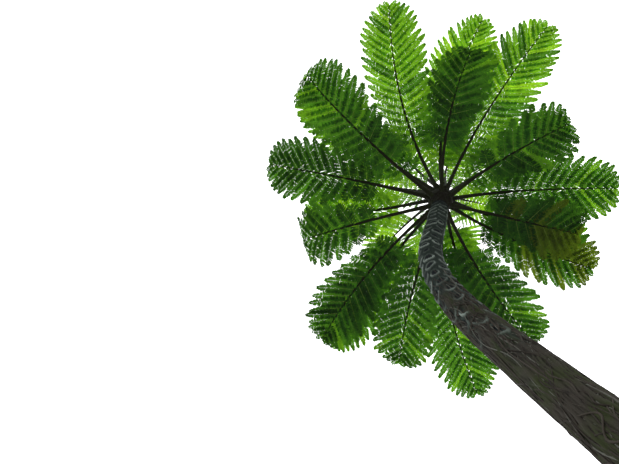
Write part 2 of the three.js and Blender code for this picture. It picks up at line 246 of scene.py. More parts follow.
# Coiled young fronds: bearing, lean from upright and height of the stalk. Then their distance
# from the head's axis, the solid's thickness, the share of it under the scales, rings and coil
CROZIERS = [(-82, 14, 0.52), (23, 20, 0.4), (106, 9, 0.64)]
CROZIER_SPREAD = 0.025
CROZIER_RADIUS = 0.017
CROZIER_TIP_RADIUS = 0.009
CROZIER_BARE_SHARE = 0.95
CROZIER_RINGS = 96
COIL_RADIUS = 0.066
COIL_SHRINK = 0.56
COIL_TURNS = 1.4

# Chaffy scales of a stalk and of a coiled frond: count, length, and half width over length. Then
# where they start on a stalk, and how far beyond that they stand in the mean
STALK_SCALES = (90, 0.03, 0.07)
COIL_SCALES = (420, 0.024, 0.09)
SCALES_START = 0.05
SCALES_SPREAD = 0.08

# The photograph's frame and focal length in pixels, where it shows the point straight overhead,
# the place of the camera, and the width of its sensor in millimetres
IMAGE_SIZE = (619, 464)
FOCAL_PIXELS = 480
ZENITH_PIXEL = (324, 213)
CAMERA_PLACE = (-1.3, -1.02, 1.6)
SENSOR_WIDTH = 36

# Leaf tones, counted from 0: colour of the upper side, of the light that comes through, and
# roughness. The first four are steps of painted light and shade, from shaded to lit, and the
# younger ones are partly also the fresher green of young fronds. Only aged leaflets have the last
# one
LEAF_TONES = {
    "Old shaded fern leaf": ("#22421C", "#3E6E16", 0.55),
    "Grown fern leaf in painted half shade": ("#2B5520", "#548E1A", 0.5),
    "Sunlit fern leaf": ("#3C7022", "#7CB81A", 0.47),
    "Young fern leaf in painted light": ("#4E8826", "#9CD41E", 0.44),
    "Ageing olive fern leaf": ("#4A5A1C", "#6E8A1A", 0.55),
}
AGED_TONE = len(LEAF_TONES) - 1

# How far the tone of a leaflet strays from the middle one of its frond
TONE_STRAY = 0.4

# Fronds, counted from 0, whose outer leaflets have aged, and the share of their leaflets that
# are aged at the tip, which falls evenly to none where the blade starts
AGEING_FRONDS = (3, 7)
AGEING_SHARE = 0.85


# Shapes of rows and rings

def smoothstep(value):
    """0 below 0, 1 above 1, and the cubic 3v^2 - 2v^3 between."""
    value = np.clip(value, 0, 1)
    return value * value * (3 - 2 * value)


def unit(vectors):
    """Vectors divided by their own lengths."""
    return vectors / np.linalg.norm(vectors, axis=-1, keepdims=True)


def swing(angle, start, quarter):
    """Directions that swing from start, at 0, to quarter, at 90 degrees: start * cos(angle) +
    quarter * sin(angle), with the angle in radians."""
    return np.cos(angle)[..., None] * start + np.sin(angle)[..., None] * quarter


def ripples(seed, angle, height, counts, lengths):
    """Smooth noise that closes round a trunk, about -1 to 1: for each entry of counts and
    lengths two sines of that many waves round it and that length up it, at random phases."""
    rng = np.random.default_rng(seed)
    total = np.zeros(np.broadcast(angle, height).shape)
    for count, length in zip(counts, lengths):
        phase = rng.uniform(0, TURN, 2)
        wave = TURN * height / length
        total += np.sin(count * angle + wave + phase[0]) + np.sin(count * angle - wave + phase[1])
    return total / (2 * len(counts)) ** 0.5


def skin(grid, start, end):
    """Closes a grid of rings, which turn left round the way that they follow each other, with a
    fan to a point at each end. Returns the points and the four- and three-cornered faces."""
    rows, columns, _ = grid.shape
    points = np.concatenate([grid.reshape(-1, 3), [start, end]])
    near = np.arange(columns)
    far = (near + 1) % columns
    row = (np.arange(rows - 1) * columns)[:, None, None]
    quads = np.stack([near, far, far + columns, near + columns], axis=-1)[None] + row
    last = rows * columns
    over = last - columns
    below = np.stack([far, near, np.full(columns, last)], axis=-1)
    above = np.stack([near + over, far + over, np.full(columns, last + 1)], axis=-1)
    return points, [quads.reshape(-1, 4), np.concatenate([below, above])]


def repeat_faces(quads, ends, count, size):
    """Four- and three-cornered faces of one shape, repeated for count shapes of size points."""
    first = (np.arange(count) * size)[:, None, None]
    return [(quads + first).reshape(-1, 4), (ends + first).reshape(-1, 3)]


def tubes(paths, side, above, radii, section):
    """Closed tubes along n paths of m points each. A ring's corner is the path's point +
    radius * (section x * side + section y * above), and each end closes on a point."""
    across = section[:, :1] * side[:, :, None]
    rise = section[:, 1:] * above[:, :, None]
    rings = paths[:, :, None] + radii[:, :, None, None] * (across + rise)
    _, (quads, ends) = skin(rings[0], paths[0, 0], paths[0, -1])
    count = len(paths)
    points = np.concatenate([rings.reshape(count, -1, 3), paths[:, :1], paths[:, -1:]], axis=1)
    return points.reshape(-1, 3), repeat_faces(quads, ends, count, points.shape[1])


def circle(corners):
    """Corners of a unit circle, turning from side to above."""
    angle = TURN * np.arange(corners) / corners
    return np.stack([np.cos(angle), np.sin(angle)], axis=1)


def add_piece(name, points, faces, materials, tones=None, attributes=None):
    """A mesh piece from an array of points and arrays of faces of one corner count each. tones
    gives a material to each of the like shapes that the piece is made of, and attributes give a
    number to each point."""
    mesh = bpy.data.meshes.new(name)
    mesh.vertices.add(len(points))
    mesh.vertices.foreach_set("co", points.astype(np.float32).ravel())
    corners = np.concatenate([group.ravel() for group in faces])
    sizes = np.concatenate([np.full(len(group), group.shape[1]) for group in faces])
    mesh.loops.add(len(corners))
    mesh.loops.foreach_set("vertex_index", corners.astype(np.int32))
    mesh.polygons.add(len(sizes))
    starts = np.cumsum(sizes) - sizes
    mesh.polygons.foreach_set("loop_start", starts.astype(np.int32))
    mesh.polygons.foreach_set("use_smooth", np.ones(len(sizes), bool))
    for material in materials:
        mesh.materials.append(material)
    if tones is not None:
        shares = [np.repeat(tones, len(group) // len(tones)) for group in faces]
        mesh.polygons.foreach_set("material_index", np.concatenate(shares).astype(np.int32))
    for key, values in (attributes or {}).items():
        attribute = mesh.attributes.new(key, "FLOAT", "POINT")
        attribute.data.foreach_set("value", values.astype(np.float32).ravel())
    mesh.update(calc_edges=True)
    mesh.validate()
    piece = bpy.data.objects.new(name, mesh)
    bpy.context.scene.collection.objects.link(piece)
    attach(piece, "root")
    return piece


# Trunk

def spine_at(along):
    """Points on the trunk's centre line at parameters from 0 to 1: a Catmull-Rom curve, which
    leaves each knot in the direction of the chord between that knot's two neighbours."""
    knots = np.vstack([
        2 * TRUNK_SPINE[0] - TRUNK_SPINE[1], TRUNK_SPINE, 2 * TRUNK_SPINE[-1] - TRUNK_SPINE[-2],
    ])
    place = np.clip(along, 0, 1) * (len(TRUNK_SPINE) - 1)
    knot = np.minimum(place.astype(int), len(TRUNK_SPINE) - 2)
    step = (place - knot)[..., None]
    before, start, end, after = (knots[knot + k] for k in range(4))
    leave = (end - before) / 2
    arrive = (after - start) / 2
    return (
        start + leave * step
        + (3 * (end - start) - 2 * leave - arrive) * step ** 2
        + (2 * (start - end) + leave + arrive) * step ** 3
    )


def spine_tangent(along):
    """Unit direction of the centre line, from two points close together on it."""
    small = 1e-4
    return unit(spine_at(np.minimum(along + small, 1)) - spine_at(np.maximum(along - small, 0)))


HEAD_BASE = spine_at(np.array(1.0))
HEAD_AXIS = spine_tangent(np.array(1.0))


def trunk_rings(height):
    """Centres at heights, and the two square directions of the rings there. The rings are
    level at the ground and square to the centre line above the flare."""
    table = np.linspace(0, 1, SPINE_STEPS)
    along = np.interp(height, spine_at(table)[:, 2], table)
    centre = spine_at(along)
    bent = smoothstep(centre[..., 2:] / FLARE_HEIGHT)
    axis = unit((1 - bent) * UP + bent * spine_tangent(along))
    east = unit(EAST - axis * axis[..., :1])
    return centre, east, np.cross(axis, east)


def trunk_radius(height, angle):
    """The solid's radius: a slight taper, and a flare and root lobes that fade with height."""
    plain = TRUNK_TOP_RADIUS + TRUNK_TAPER * (HEAD_BASE[2] - height)
    flare = FLARE_RADIUS * np.exp(-height / FLARE_HEIGHT)
    lobes = ROOT_LOBE_DEPTH * np.exp(-height / ROOT_LOBE_HEIGHT)
    return (plain + flare) * (1 + lobes * np.cos(ROOT_LOBES * angle))


def scar_relief(angle, height, settings):
    """Frond scars on the upper trunk, in upright ranks that climb three scars in a turn. The
    pitch grows evenly with the depth below the top, so the count of scars down to a depth is a
    logarithm of it. With d the distance from a scar's middle in half sizes, the rim is a bell
    round d = 1, strongest below, the face inside it is sunk round its bundle marks, and the
    foot of a scar stands out. Some rims are worn paler than others.

    Returns the height of the relief and how much each place belongs to a rim and to a face."""
    ranks = settings.scar_ranks
    pitch = settings.scar_pitch + SCAR_STRETCH * (HEAD_BASE[2] - height)
    growth = pitch / settings.scar_pitch
    rng = np.random.default_rng(11)
    spread, tilt, shift, worn = (
        rng.uniform(low, high, (ranks, SCAR_KINDS))
        for low, high in ((0.8, 1.15), (-0.35, 0.35), (-0.12, 0.12), (0.2, 1))
    )
    across = angle / TURN * ranks + 0.12 * ripples(12, angle, height, (1, 2), (0.9, 0.5))
    rank = np.round(across).astype(int)
    level = -np.log(growth) / SCAR_STRETCH + SCAR_CLIMB * rank / ranks
    row = np.round(level).astype(int)
    chosen = (rank % ranks, (row - SCAR_CLIMB * (rank // ranks)) % SCAR_KINDS)
    girth = TURN * TRUNK_TOP_RADIUS
    sideways = (across - rank + shift[chosen]) * girth / ranks
    upward = (level - row) * pitch + tilt[chosen] * sideways
    half_width = settings.scar_width / 2 * spread[chosen]
    half_height = settings.scar_height / 2 * spread[chosen] * growth
    distance = np.hypot(sideways / half_width, upward / half_height)
    distance += 0.07 * ripples(14, angle, height, (7, 13, 19, 29), (0.16, 0.11, 0.07, 0.05))
    lower = 0.25 + 0.75 * smoothstep(0.6 - upward / half_height)
    rim = np.exp(-((distance - 1) / 0.18) ** 2) * lower
    face = smoothstep((0.95 - distance) / 0.25)
    bundles = face * np.exp(-((distance - 0.55) / 0.12) ** 2)
    bundles *= smoothstep(2 * np.sin(9 * np.arctan2(upward, sideways)))
    foot = smoothstep(1.6 - distance) * smoothstep(-upward / 0.02)
    fibres = ripples(13, angle, height, (37, 53, 61, 71), (0.31, 0.23, 0.37, 0.19))
    relief = SCAR_RIM * rim + SCAR_FACE * face + SCAR_BUNDLES * bundles + SCAR_FOOT * foot
    return relief + FIBRE_HEIGHT * fibres * (1 - face), rim * worn[chosen], face


def root_relief(angle, height, settings):
    """Matted roots that run down the trunk. Each of three layers has a whole number of ropes
    round the trunk that wander sideways as they fall; a rope's section is a half ellipse, some
    ropes are thin, and the highest layer at each place is the one that shows."""
    relief = np.full(angle.shape, -HOLLOW_DEPTH)
    for seed, (more, wander, base) in enumerate(ROOT_LAYERS, start=21):
        count = settings.root_count + more
        drift = wander * ripples(seed, angle, height, (1, 2, 3, 5), (2.3, 1.3, 0.8, 0.45))
        place = angle / TURN * count + drift
        rope = np.floor(place).astype(int) % count
        thick = np.random.default_rng(seed).uniform(0.25, 1, count)[rope]
        offset = 2 * (place - np.floor(place)) - 1
        profile = np.sqrt(np.clip(1 - (offset / ROPE_WIDTH) ** 2, 0, 1))
        relief = np.maximum(relief, base + settings.root_height * thick * profile - ROPE_SUNK)
    return relief


def root_cover(height, angle, settings):
    """Share of the bark that roots hide: none near the crown, all of it lower down, along a
    ragged line."""
    ragged = 0.5 * ripples(31, angle, height, (2, 3, 5), (1.7, 0.9, 0.6))
    return smoothstep((settings.root_top - height + ragged) / 1.4)


def trunk_stretch(settings, low, high, rows):
    """A stretch of the trunk: rings at even heights whose radius is the solid's plus the relief,
    where scars give way to roots. Over the last stretch under the crown head the bark is darkened
    as painted shade of the crown. Returns the points, the faces and masks for the material."""
    columns = settings.trunk_columns
    level = np.linspace(low, high, rows)
    centre, east, north = trunk_rings(level)
    height = level[:, None] + np.zeros(columns)
    angle = TURN * np.arange(columns) / columns + np.zeros((rows, 1))
    scars, rim, face = scar_relief(angle, height, settings)
    roots = root_relief(angle, height, settings)
    bare = 1 - root_cover(height, angle, settings)
    relief = (bare * scars + (1 - bare) * roots) * smoothstep((HEAD_BASE[2] - height) / 0.05)
    radius = trunk_radius(height, angle) - settings.bark_sunk + relief
    grid = centre[:, None] + radius[..., None] * swing(angle, east[:, None], north[:, None])
    points, faces = skin(grid, centre[0], centre[-1])
    # Painted shade of the crown: the bark darkens towards the crown head
    crown_shade = smoothstep(1 - (HEAD_BASE[2] - height) / CROWN_SHADE_STRETCH)
    # The face mask also carries the painted crown shade, which darkens the bark to the scar faces'
    # colour and hides the pale rims
    masks = {
        "rim": bare * rim * (1 - crown_shade), "face": bare * np.maximum(face, crown_shade), "bare": bare,
        "hollow": -relief / HOLLOW_DEPTH,
    }
    return points, faces, {key: np.append(mask.ravel(), [0, 0]) for key, mask in masks.items()}


def rootlet_paths(settings):
    """Thin roots that run down over the bark. Each starts at its own height and angle and
    wanders sideways by three sines; it lifts off the bark a little between its two ends.

    Returns the paths, their side and outward directions, and the radii along them."""
    rng = np.random.default_rng(61)
    one_each = (settings.rootlet_count, 1)
    share = np.linspace(0, 1, ROOTLET_RINGS)[None]
    length = rng.uniform(*ROOTLET_LENGTHS, one_each)
    highest = settings.root_top + ROOTLET_START
    height = length + (highest - length) * rng.uniform(0, 1, one_each) - length * share
    angle = rng.uniform(0, TURN, one_each)
    for _ in range(3):
        swerve = rng.normal(0, 0.16, one_each)
        waves = rng.uniform(0.4, 3.2, one_each)
        angle = angle + swerve * np.sin(TURN * (waves * share + rng.uniform(0, 1, one_each)))
    lift = rng.uniform(0, ROOTLET_LIFT, one_each) * np.sin(np.pi * share) ** 0.5
    centre, east, north = trunk_rings(height)
    outward = swing(angle, east, north)
    radius = trunk_radius(height, angle) - settings.bark_sunk + lift
    paths = centre + radius[..., None] * outward
    forward = unit(np.gradient(paths, axis=1))
    side = unit(np.cross(outward, forward))
    thickness = settings.rootlet_radius * rng.uniform(0.5, 1.4, one_each)
    radii = thickness * (0.35 + 0.65 * np.sin(np.pi * share) ** 0.4)
    return paths, side, np.cross(forward, side), radii


# Fronds

def rib_direction(frond, fraction):
    """Direction of the rib: its slope is rise - (rise - fall) * fraction ^ 1.4 and its bearing
    turns evenly by the sweep."""
    whorl, bearing, sweep, _, _ = frond
    rise, fall = WHORLS[whorl][1:3]
    slope = np.radians(rise - (rise - fall) * fraction ** ARC_POWER)
    return swing(slope, swing(np.radians(bearing + sweep * fraction), EAST, NORTH), UP)


def rib_frame(frond, number, distance):
    """Place on the rib at distances from its start, and its forward, right and top directions:
    the directions of sixty even steps added up from inside the head, and then the roll."""
    whorl, bearing, _, length, _ = frond
    outward = swing(np.radians(bearing), EAST, NORTH)
    start = HEAD_BASE + HEAD_AXIS * WHORLS[whorl][0] + FROND_START * outward
    steps = rib_direction(frond, (np.arange(ARC_STEPS) + 0.5) / ARC_STEPS) * length / ARC_STEPS
    arc = start + np.vstack([np.zeros(3), np.cumsum(steps, axis=0)])
    fraction = np.clip(distance / length, 0, 1)
    marks = np.arange(ARC_STEPS + 1) / ARC_STEPS
    place = np.stack([np.interp(fraction, marks, arc[:, k]) for k in range(3)], axis=-1)
    forward = rib_direction(frond, fraction)
    level = unit(np.cross(forward, UP))
    roll = np.radians(ROLL_SWING * np.sin(np.radians(number * GOLDEN_ANGLE)))
    right = swing(roll, level, np.cross(forward, level))
    return place, forward, right, np.cross(right, forward)


def rib_half_width(frond, distance):
    """Half the rib's width, which falls evenly to 15 percent at the tip."""
    return RIB_WIDTH / 2 * (1 - RIB_TAPER * distance / frond[3])


def leaflet_profile(along):
    """Leaflet length over the longest one: short at first, full past the middle, blunt at the
    end. It is (0.42 + 0.58 * smoothstep(along / 0.55)) * (1 - ((along - 0.58) / 0.45) ^ 2.2)."""
    growing = FIRST_LEAFLET + (1 - FIRST_LEAFLET) * smoothstep(along / FULL_FROM)
    return growing * (1 - np.maximum(0, (along - FULL_UNTIL) / END_SPAN) ** END_POWER)


def lobe_profile(out):
    """Lobe length over the longest one: nearly full from the first, and round to the tip. It is
    (0.8 + 0.2 * smoothstep(out / 0.14)) * (1 - out ^ 3) ^ 0.75 + 0.06."""
    growing = FIRST_LOBE + (1 - FIRST_LOBE) * smoothstep(out / LOBES_FULL_FROM)
    return growing * (1 - out ** 3) ** LOBES_END_POWER + LAST_LOBE


def grow_leaflets(frond, number, settings):
    """Every leaflet of one frond, as arrays with an entry for each: where it roots, the way it
    reaches, the way across it towards the tip, its upper side, its size, droop and tone."""
    whorl, _, _, length, middle_tone = frond
    stalk, hang, breadth = WHORLS[whorl][3:]
    blade = length - stalk
    pairs = round(blade / settings.leaflet_pitch)
    side = np.tile([1.0, -1.0], pairs)
    share = (np.repeat(np.arange(pairs), 2) + 0.5 + PAIR_STAGGER * side) / pairs
    along = share * (1 + LEAFLET_CROWDING * (1 - share))
    pitch = (1 + LEAFLET_CROWDING * (1 - 2 * share)) * blade / pairs
    distance = stalk + along * blade
    count = len(along)
    rng = np.random.default_rng(100 + number)
    lean = LEAFLET_ANGLE - LEAFLET_CLOSING * along ** LEAFLET_CLOSING_POWER
    lean = np.radians(lean + rng.normal(0, LEAFLET_ANGLE_STRAY, count))
    longest = LEAFLET_BASE_LENGTH + LEAFLET_LENGTH_PER_FROND * length
    place, forward, right, top = rib_frame(frond, number, distance)
    outward = right * side[:, None]
    # Each leaflet takes a step of painted light and shade near its frond's middle tone, strayed at
    # random
    tone = middle_tone + TONE_STRAY * rng.normal(size=count)
    tone = np.clip(np.round(tone), 0, AGED_TONE - 1)
    aged = (number in AGEING_FRONDS) & (rng.uniform(0, 1, count) < AGEING_SHARE * along)
    return {
        "root": place + outward * (LEAFLET_ROOTING * rib_half_width(frond, distance))[:, None],
        "reach": swing(lean, forward, outward),
        "across": swing(lean, -outward, forward),
        "top": top,
        "side": side,
        "length": longest * leaflet_profile(along) * rng.uniform(0.92, 1, count),
        "width": np.sin(lean) * pitch * settings.leaflet_fullness * breadth,
        "closeness": settings.lobe_fullness * (LOBES_APART + (1 - LOBES_APART) * 2 * along),
        "droop": settings.leaflet_droop * hang * rng.uniform(0.75, 1.3, count),
        "tone": np.where(aged, AGED_TONE, tone),
        "frond": np.full(count, number),
    }


def leaflet_point(leaflets, out):
    """Points along each leaflet's rib at shares of its length: root + out * length * reach,
    lowered by droop * length * out^2."""
    drop = (leaflets["droop"][:, None] * out ** 2)[..., None] * leaflets["top"][:, None]
    offset = out[..., None] * leaflets["reach"][:, None] - drop
    return leaflets["root"][:, None] + leaflets["length"][:, None, None] * offset


def keep_clear(leaflets, clearance):
    """Leaves out each leaflet with a point that lies close to another frond's rib, to a coiled
    frond, or to a leaflet kept before it on another frond."""
    owner = leaflets["frond"]
    samples = np.linspace(0.15, 1, LEAFLET_SAMPLES)[None] + np.zeros((len(owner), 1))
    points = leaflet_point(leaflets, samples)
    kept = np.ones(len(owner), bool)
    ribs = [
        rib_frame(frond, number, np.linspace(0.05, frond[3], RIB_SAMPLES))[0]
        for number, frond in enumerate(FRONDS)
    ]
    ribs += list(crozier_paths(COIL_SAMPLES)[0])
    for number in range(len(FRONDS)):
        mine = np.flatnonzero(owner == number)
        earlier = points[(owner < number) & kept].reshape(-1, 3)
        others = np.concatenate([rib for k, rib in enumerate(ribs) if k != number] + [earlier])
        gaps = np.linalg.norm(points[mine].reshape(-1, 1, 3) - others[None], axis=-1).min(axis=1)
        kept[mine] = gaps.reshape(len(mine), -1).min(axis=1) > clearance
    return {key: values[kept] for key, values in leaflets.items()}


def leaflet_lobes(leaflets, settings):
    """The lobes that make up each leaflet, on both sides of its rib. A lobe is a strip of three
    rows of points, near edge, fold and far edge, that follows the outline; it roots on the
    leaflet's rib, leans to the leaflet's tip, and sags and bends as the square of its reach.
    Each is tilted to lap over the next like a shingle.

    Returns the points, the faces, each lobe's tone and each point's nearness to the fold."""
    rng = np.random.default_rng(7)
    counts = np.maximum(3, np.round(leaflets["length"] / settings.lobe_pitch)).astype(int)
    owner = np.repeat(np.arange(len(counts)), counts * 2)
    total = len(owner)
    order = np.concatenate([np.repeat(np.arange(count), 2) for count in counts])
    side = np.tile([1.0, -1.0], total // 2)
    out = order + LOBE_START + PAIR_STAGGER * side + rng.normal(0, LOBE_STRAY, total)
    out = np.clip(out / counts[owner], 0.01, 1)
    pick = {key: values[owner] for key, values in leaflets.items()}
    base = leaflet_point(pick, out[:, None])[:, 0]
    fall = (2 * pick["droop"] * out)[:, None]
    slope = unit(pick["reach"] - fall * pick["top"])
    normal = unit(pick["top"] + fall * pick["reach"])
    lean = LOBE_ANGLE + LOBE_OPENING * (1 - smoothstep(out / 0.25)) - LOBE_CLOSING * out ** 4
    lean = np.radians(lean + rng.normal(0, LOBE_ANGLE_STRAY, total))
    dip = np.radians(settings.lobe_dip + rng.normal(0, LOBE_DIP_STRAY, total))
    flat = swing(lean, slope, pick["across"] * side[:, None])
    reach = swing(dip, flat, -normal)
    upper = swing(dip, normal, flat)
    length = pick["width"] / 2 * lobe_profile(out) / np.sin(lean) * rng.uniform(0.88, 1.08, total)
    width = pick["length"] / counts[owner] * pick["closeness"]
    share, half = LOBE_OUTLINE.T
    bend = LOBE_SICKLE * slope - LOBE_SAG * upper
    middle = base[:, None] + reach[:, None] * (length[:, None] * share)[..., None]
    middle = middle + bend[:, None] * (length[:, None] * share ** 2)[..., None]
    edge = (width[:, None] * half / 2)[..., None]
    across = unit(np.cross(upper, reach))[:, None] * edge
    fold = upper[:, None] * LOBE_FOLD * edge
    twist = side * pick["side"] * LOBE_TILT + rng.normal(0, LOBE_TILT_STRAY, total)
    tilt = (upper * twist[:, None])[:, None] * edge
    rows = np.stack([middle - across - fold - tilt, middle, middle + across - fold + tilt], axis=2)
    steps = len(share) - 1
    points = np.concatenate([rows[:, :steps].reshape(total, -1, 3), middle[:, steps:]], axis=1)
    corner = 3 * np.arange(steps - 1)[:, None]
    quads = np.concatenate([corner + [0, 3, 4, 1], corner + [1, 4, 5, 2]])
    tip = 3 * (steps - 1)
    ends = np.array([[tip, 3 * steps, tip + 1], [tip + 1, 3 * steps, tip + 2]])
    faces = repeat_faces(quads, ends, total, points.shape[1])
    folds = np.tile(np.append(np.tile([0, 1, 0], steps), 1), total)
    return points.reshape(-1, 3), faces, pick["tone"], folds


def crozier_paths(rows):
    """Centre lines of the coiled fronds: a straight stalk, then a spiral whose radius shrinks
    by the same share with each turn. Returns the paths, their side and upper directions and
    the radii along them."""
    found = []
    for bearing, lean, height in CROZIERS:
        outward = swing(np.radians(bearing), EAST, NORTH)
        tilt = np.radians(lean)
        along = swing(tilt, UP, outward)
        over = swing(tilt, outward, -UP)
        foot = HEAD_BASE + HEAD_AXIS * WHORLS["young"][0] + outward * CROZIER_SPREAD
        straight = foot + along * (height * np.linspace(0, 1, rows // 3, endpoint=False))[:, None]
        turned = COIL_TURNS * np.linspace(0, 1, rows - rows // 3)
        radius = (COIL_RADIUS * COIL_SHRINK ** turned)[:, None]
        hub = foot + along * height - over * COIL_RADIUS
        path = np.vstack([straight, hub + radius * swing(TURN * turned, over, along)])
        normal = np.repeat(np.cross(over, along)[None], rows, axis=0)
        side = np.cross(normal, unit(np.gradient(path, axis=0)))
        thickness = np.linspace(CROZIER_RADIUS, CROZIER_TIP_RADIUS, rows)
        found.append((path, side, normal, thickness))
    return [np.stack(values) for values in zip(*found)]


def scales(roots, ways, length, narrow, seed):
    """Chaffy scales: each is a strip along its way that is 0.7 of its width at the root, full at
    0.45 of its length and a point at the tip, which hangs by 0.3 of the length."""
    rng = np.random.default_rng(seed)
    length = length * rng.uniform(0.6, 1.25, (len(roots), 1))
    wide = unit(np.cross(ways, rng.normal(0, 1, ways.shape))) * length * narrow
    middle = roots + ways * length * 0.45
    tip = roots + ways * length - 0.3 * UP * length
    rows = [roots - 0.7 * wide, roots + 0.7 * wide, middle - wide, middle + wide, tip]
    points = np.stack(rows, axis=1).reshape(-1, 3)
    return points, repeat_faces([[0, 1, 3, 2]], [[2, 3, 4]], len(roots), len(rows))


# Materials

def linear(code):
    """Linear colour with full alpha of an sRGB hex code: the standard curve undone."""
    channel = np.array([int(code[at:at + 2], 16) for at in (1, 3, 5)]) / 255
    value = np.where(channel <= 0.04045, channel / 12.92, ((channel + 0.055) / 1.055) ** 2.4)
    return (*value.tolist(), 1.0)


def add_node(tree, kind, inputs=None, links=None, out=0, **settings):
    """Adds a node with its settings, its input values and the sockets that feed its inputs.
    Returns one of its output sockets, or none where it has no output."""
    node = tree.nodes.new(kind)
    for key, value in settings.items():
        setattr(node, key, value)
    for key, value in (inputs or {}).items():
        node.inputs[key].default_value = value
    for key, socket in (links or {}).items():
        tree.links.new(socket, node.inputs[key])
    return node.outputs[out] if len(node.outputs) else None


def start_material(name):
    """An empty material, the function that adds a node to it, and the Object coordinates that
    its patterns follow."""
    material = bpy.data.materials.new(name)
    material.use_nodes = True
    material.node_tree.nodes.clear()
    add = partial(add_node, material.node_tree)
    return material, add, add("ShaderNodeTexCoord", out="Object")


# Inputs of a Mix node that mixes colours, and its settings
MIX_A, MIX_B = 6, 7
COLOURS = {"data_type": "RGBA", "out": 2}


def leaf_material(name, upper, through, roughness):
    """Living fern leaf, a thin sheet with a waxy skin. Part of the light that falls on it comes
    out of the far side, yellower than what the skin throws back, so fronds glow against the sky.
    Blotches a hand wide and flecks of 8 mm vary its green, and folds are a little paler."""
    material, add, place = start_material(name)
    shades = []
    for scale, detail, low, high in ((9, 3, 0.72, 1.2), (120, 2, 0.85, 1.12)):
        noise = add("ShaderNodeTexNoise", {"Scale": scale, "Detail": detail}, {"Vector": place})
        limits = {"From Min": 0.3, "From Max": 0.7, "To Min": low, "To Max": high}
        shades.append(add("ShaderNodeMapRange", limits, {"Value": noise}))
    vary = add("ShaderNodeMath", None, {0: shades[0], 1: shades[1]}, operation="MULTIPLY")
    green, lit = (
        add("ShaderNodeVectorMath", {0: colour[:3]}, {3: vary}, operation="SCALE")
        for colour in (upper, through)
    )
    fold = add("ShaderNodeAttribute", attribute_name="fold", out="Fac")
    pale = add("ShaderNodeMapRange", {"From Min": 0.7, "To Max": 0.35}, {"Value": fold})
    folded = add("ShaderNodeMix", {MIX_B: through}, {0: pale, MIX_A: green}, **COLOURS)
    skin_shader = add(
        "ShaderNodeBsdfPrincipled",
        {"Roughness": roughness, "IOR": 1.42, "Specular IOR Level": 0.3}, {"Base Color": folded},
    )
    glow = add("ShaderNodeBsdfTranslucent", None, {"Color": lit})
    both = add("ShaderNodeMixShader", {0: 0.5}, {1: skin_shader, 2: glow})
    add("ShaderNodeOutputMaterial", None, {"Surface": both})
    return material


def stalk_material(name, young, old, wart_size, upper=None):
    """Frond stalk: smooth green tissue that ages to purple-black in blotches, rough with small
    warts where scales have fallen. Its upper side stays green where an upper colour is given."""
    material, add, place = start_material(name)
    blotch = add("ShaderNodeTexNoise", {"Scale": 6, "Detail": 4}, {"Vector": place})
    colour = add("ShaderNodeMix", {MIX_A: young, MIX_B: old}, {0: blotch}, **COLOURS)
    if upper is not None:
        height = add("ShaderNodeAttribute", attribute_name="upper", out="Fac")
        lit = add("ShaderNodeMapRange", {"From Min": 0.1, "From Max": 0.6}, {"Value": height})
        colour = add("ShaderNodeMix", {MIX_B: upper}, {0: lit, MIX_A: colour}, **COLOURS)
    wart = add("ShaderNodeTexVoronoi", {"Scale": 1 / wart_size}, {"Vector": place})
    bump = add(
        "ShaderNodeBump", {"Strength": 0.5, "Distance": 0.002}, {"Height": wart}, invert=True,
    )
    skin_shader = add(
        "ShaderNodeBsdfPrincipled", {"Roughness": 0.7, "Specular IOR Level": 0.12},
        {"Base Color": colour, "Normal": bump},
    )
    add("ShaderNodeOutputMaterial", None, {"Surface": skin_shader})
    return material


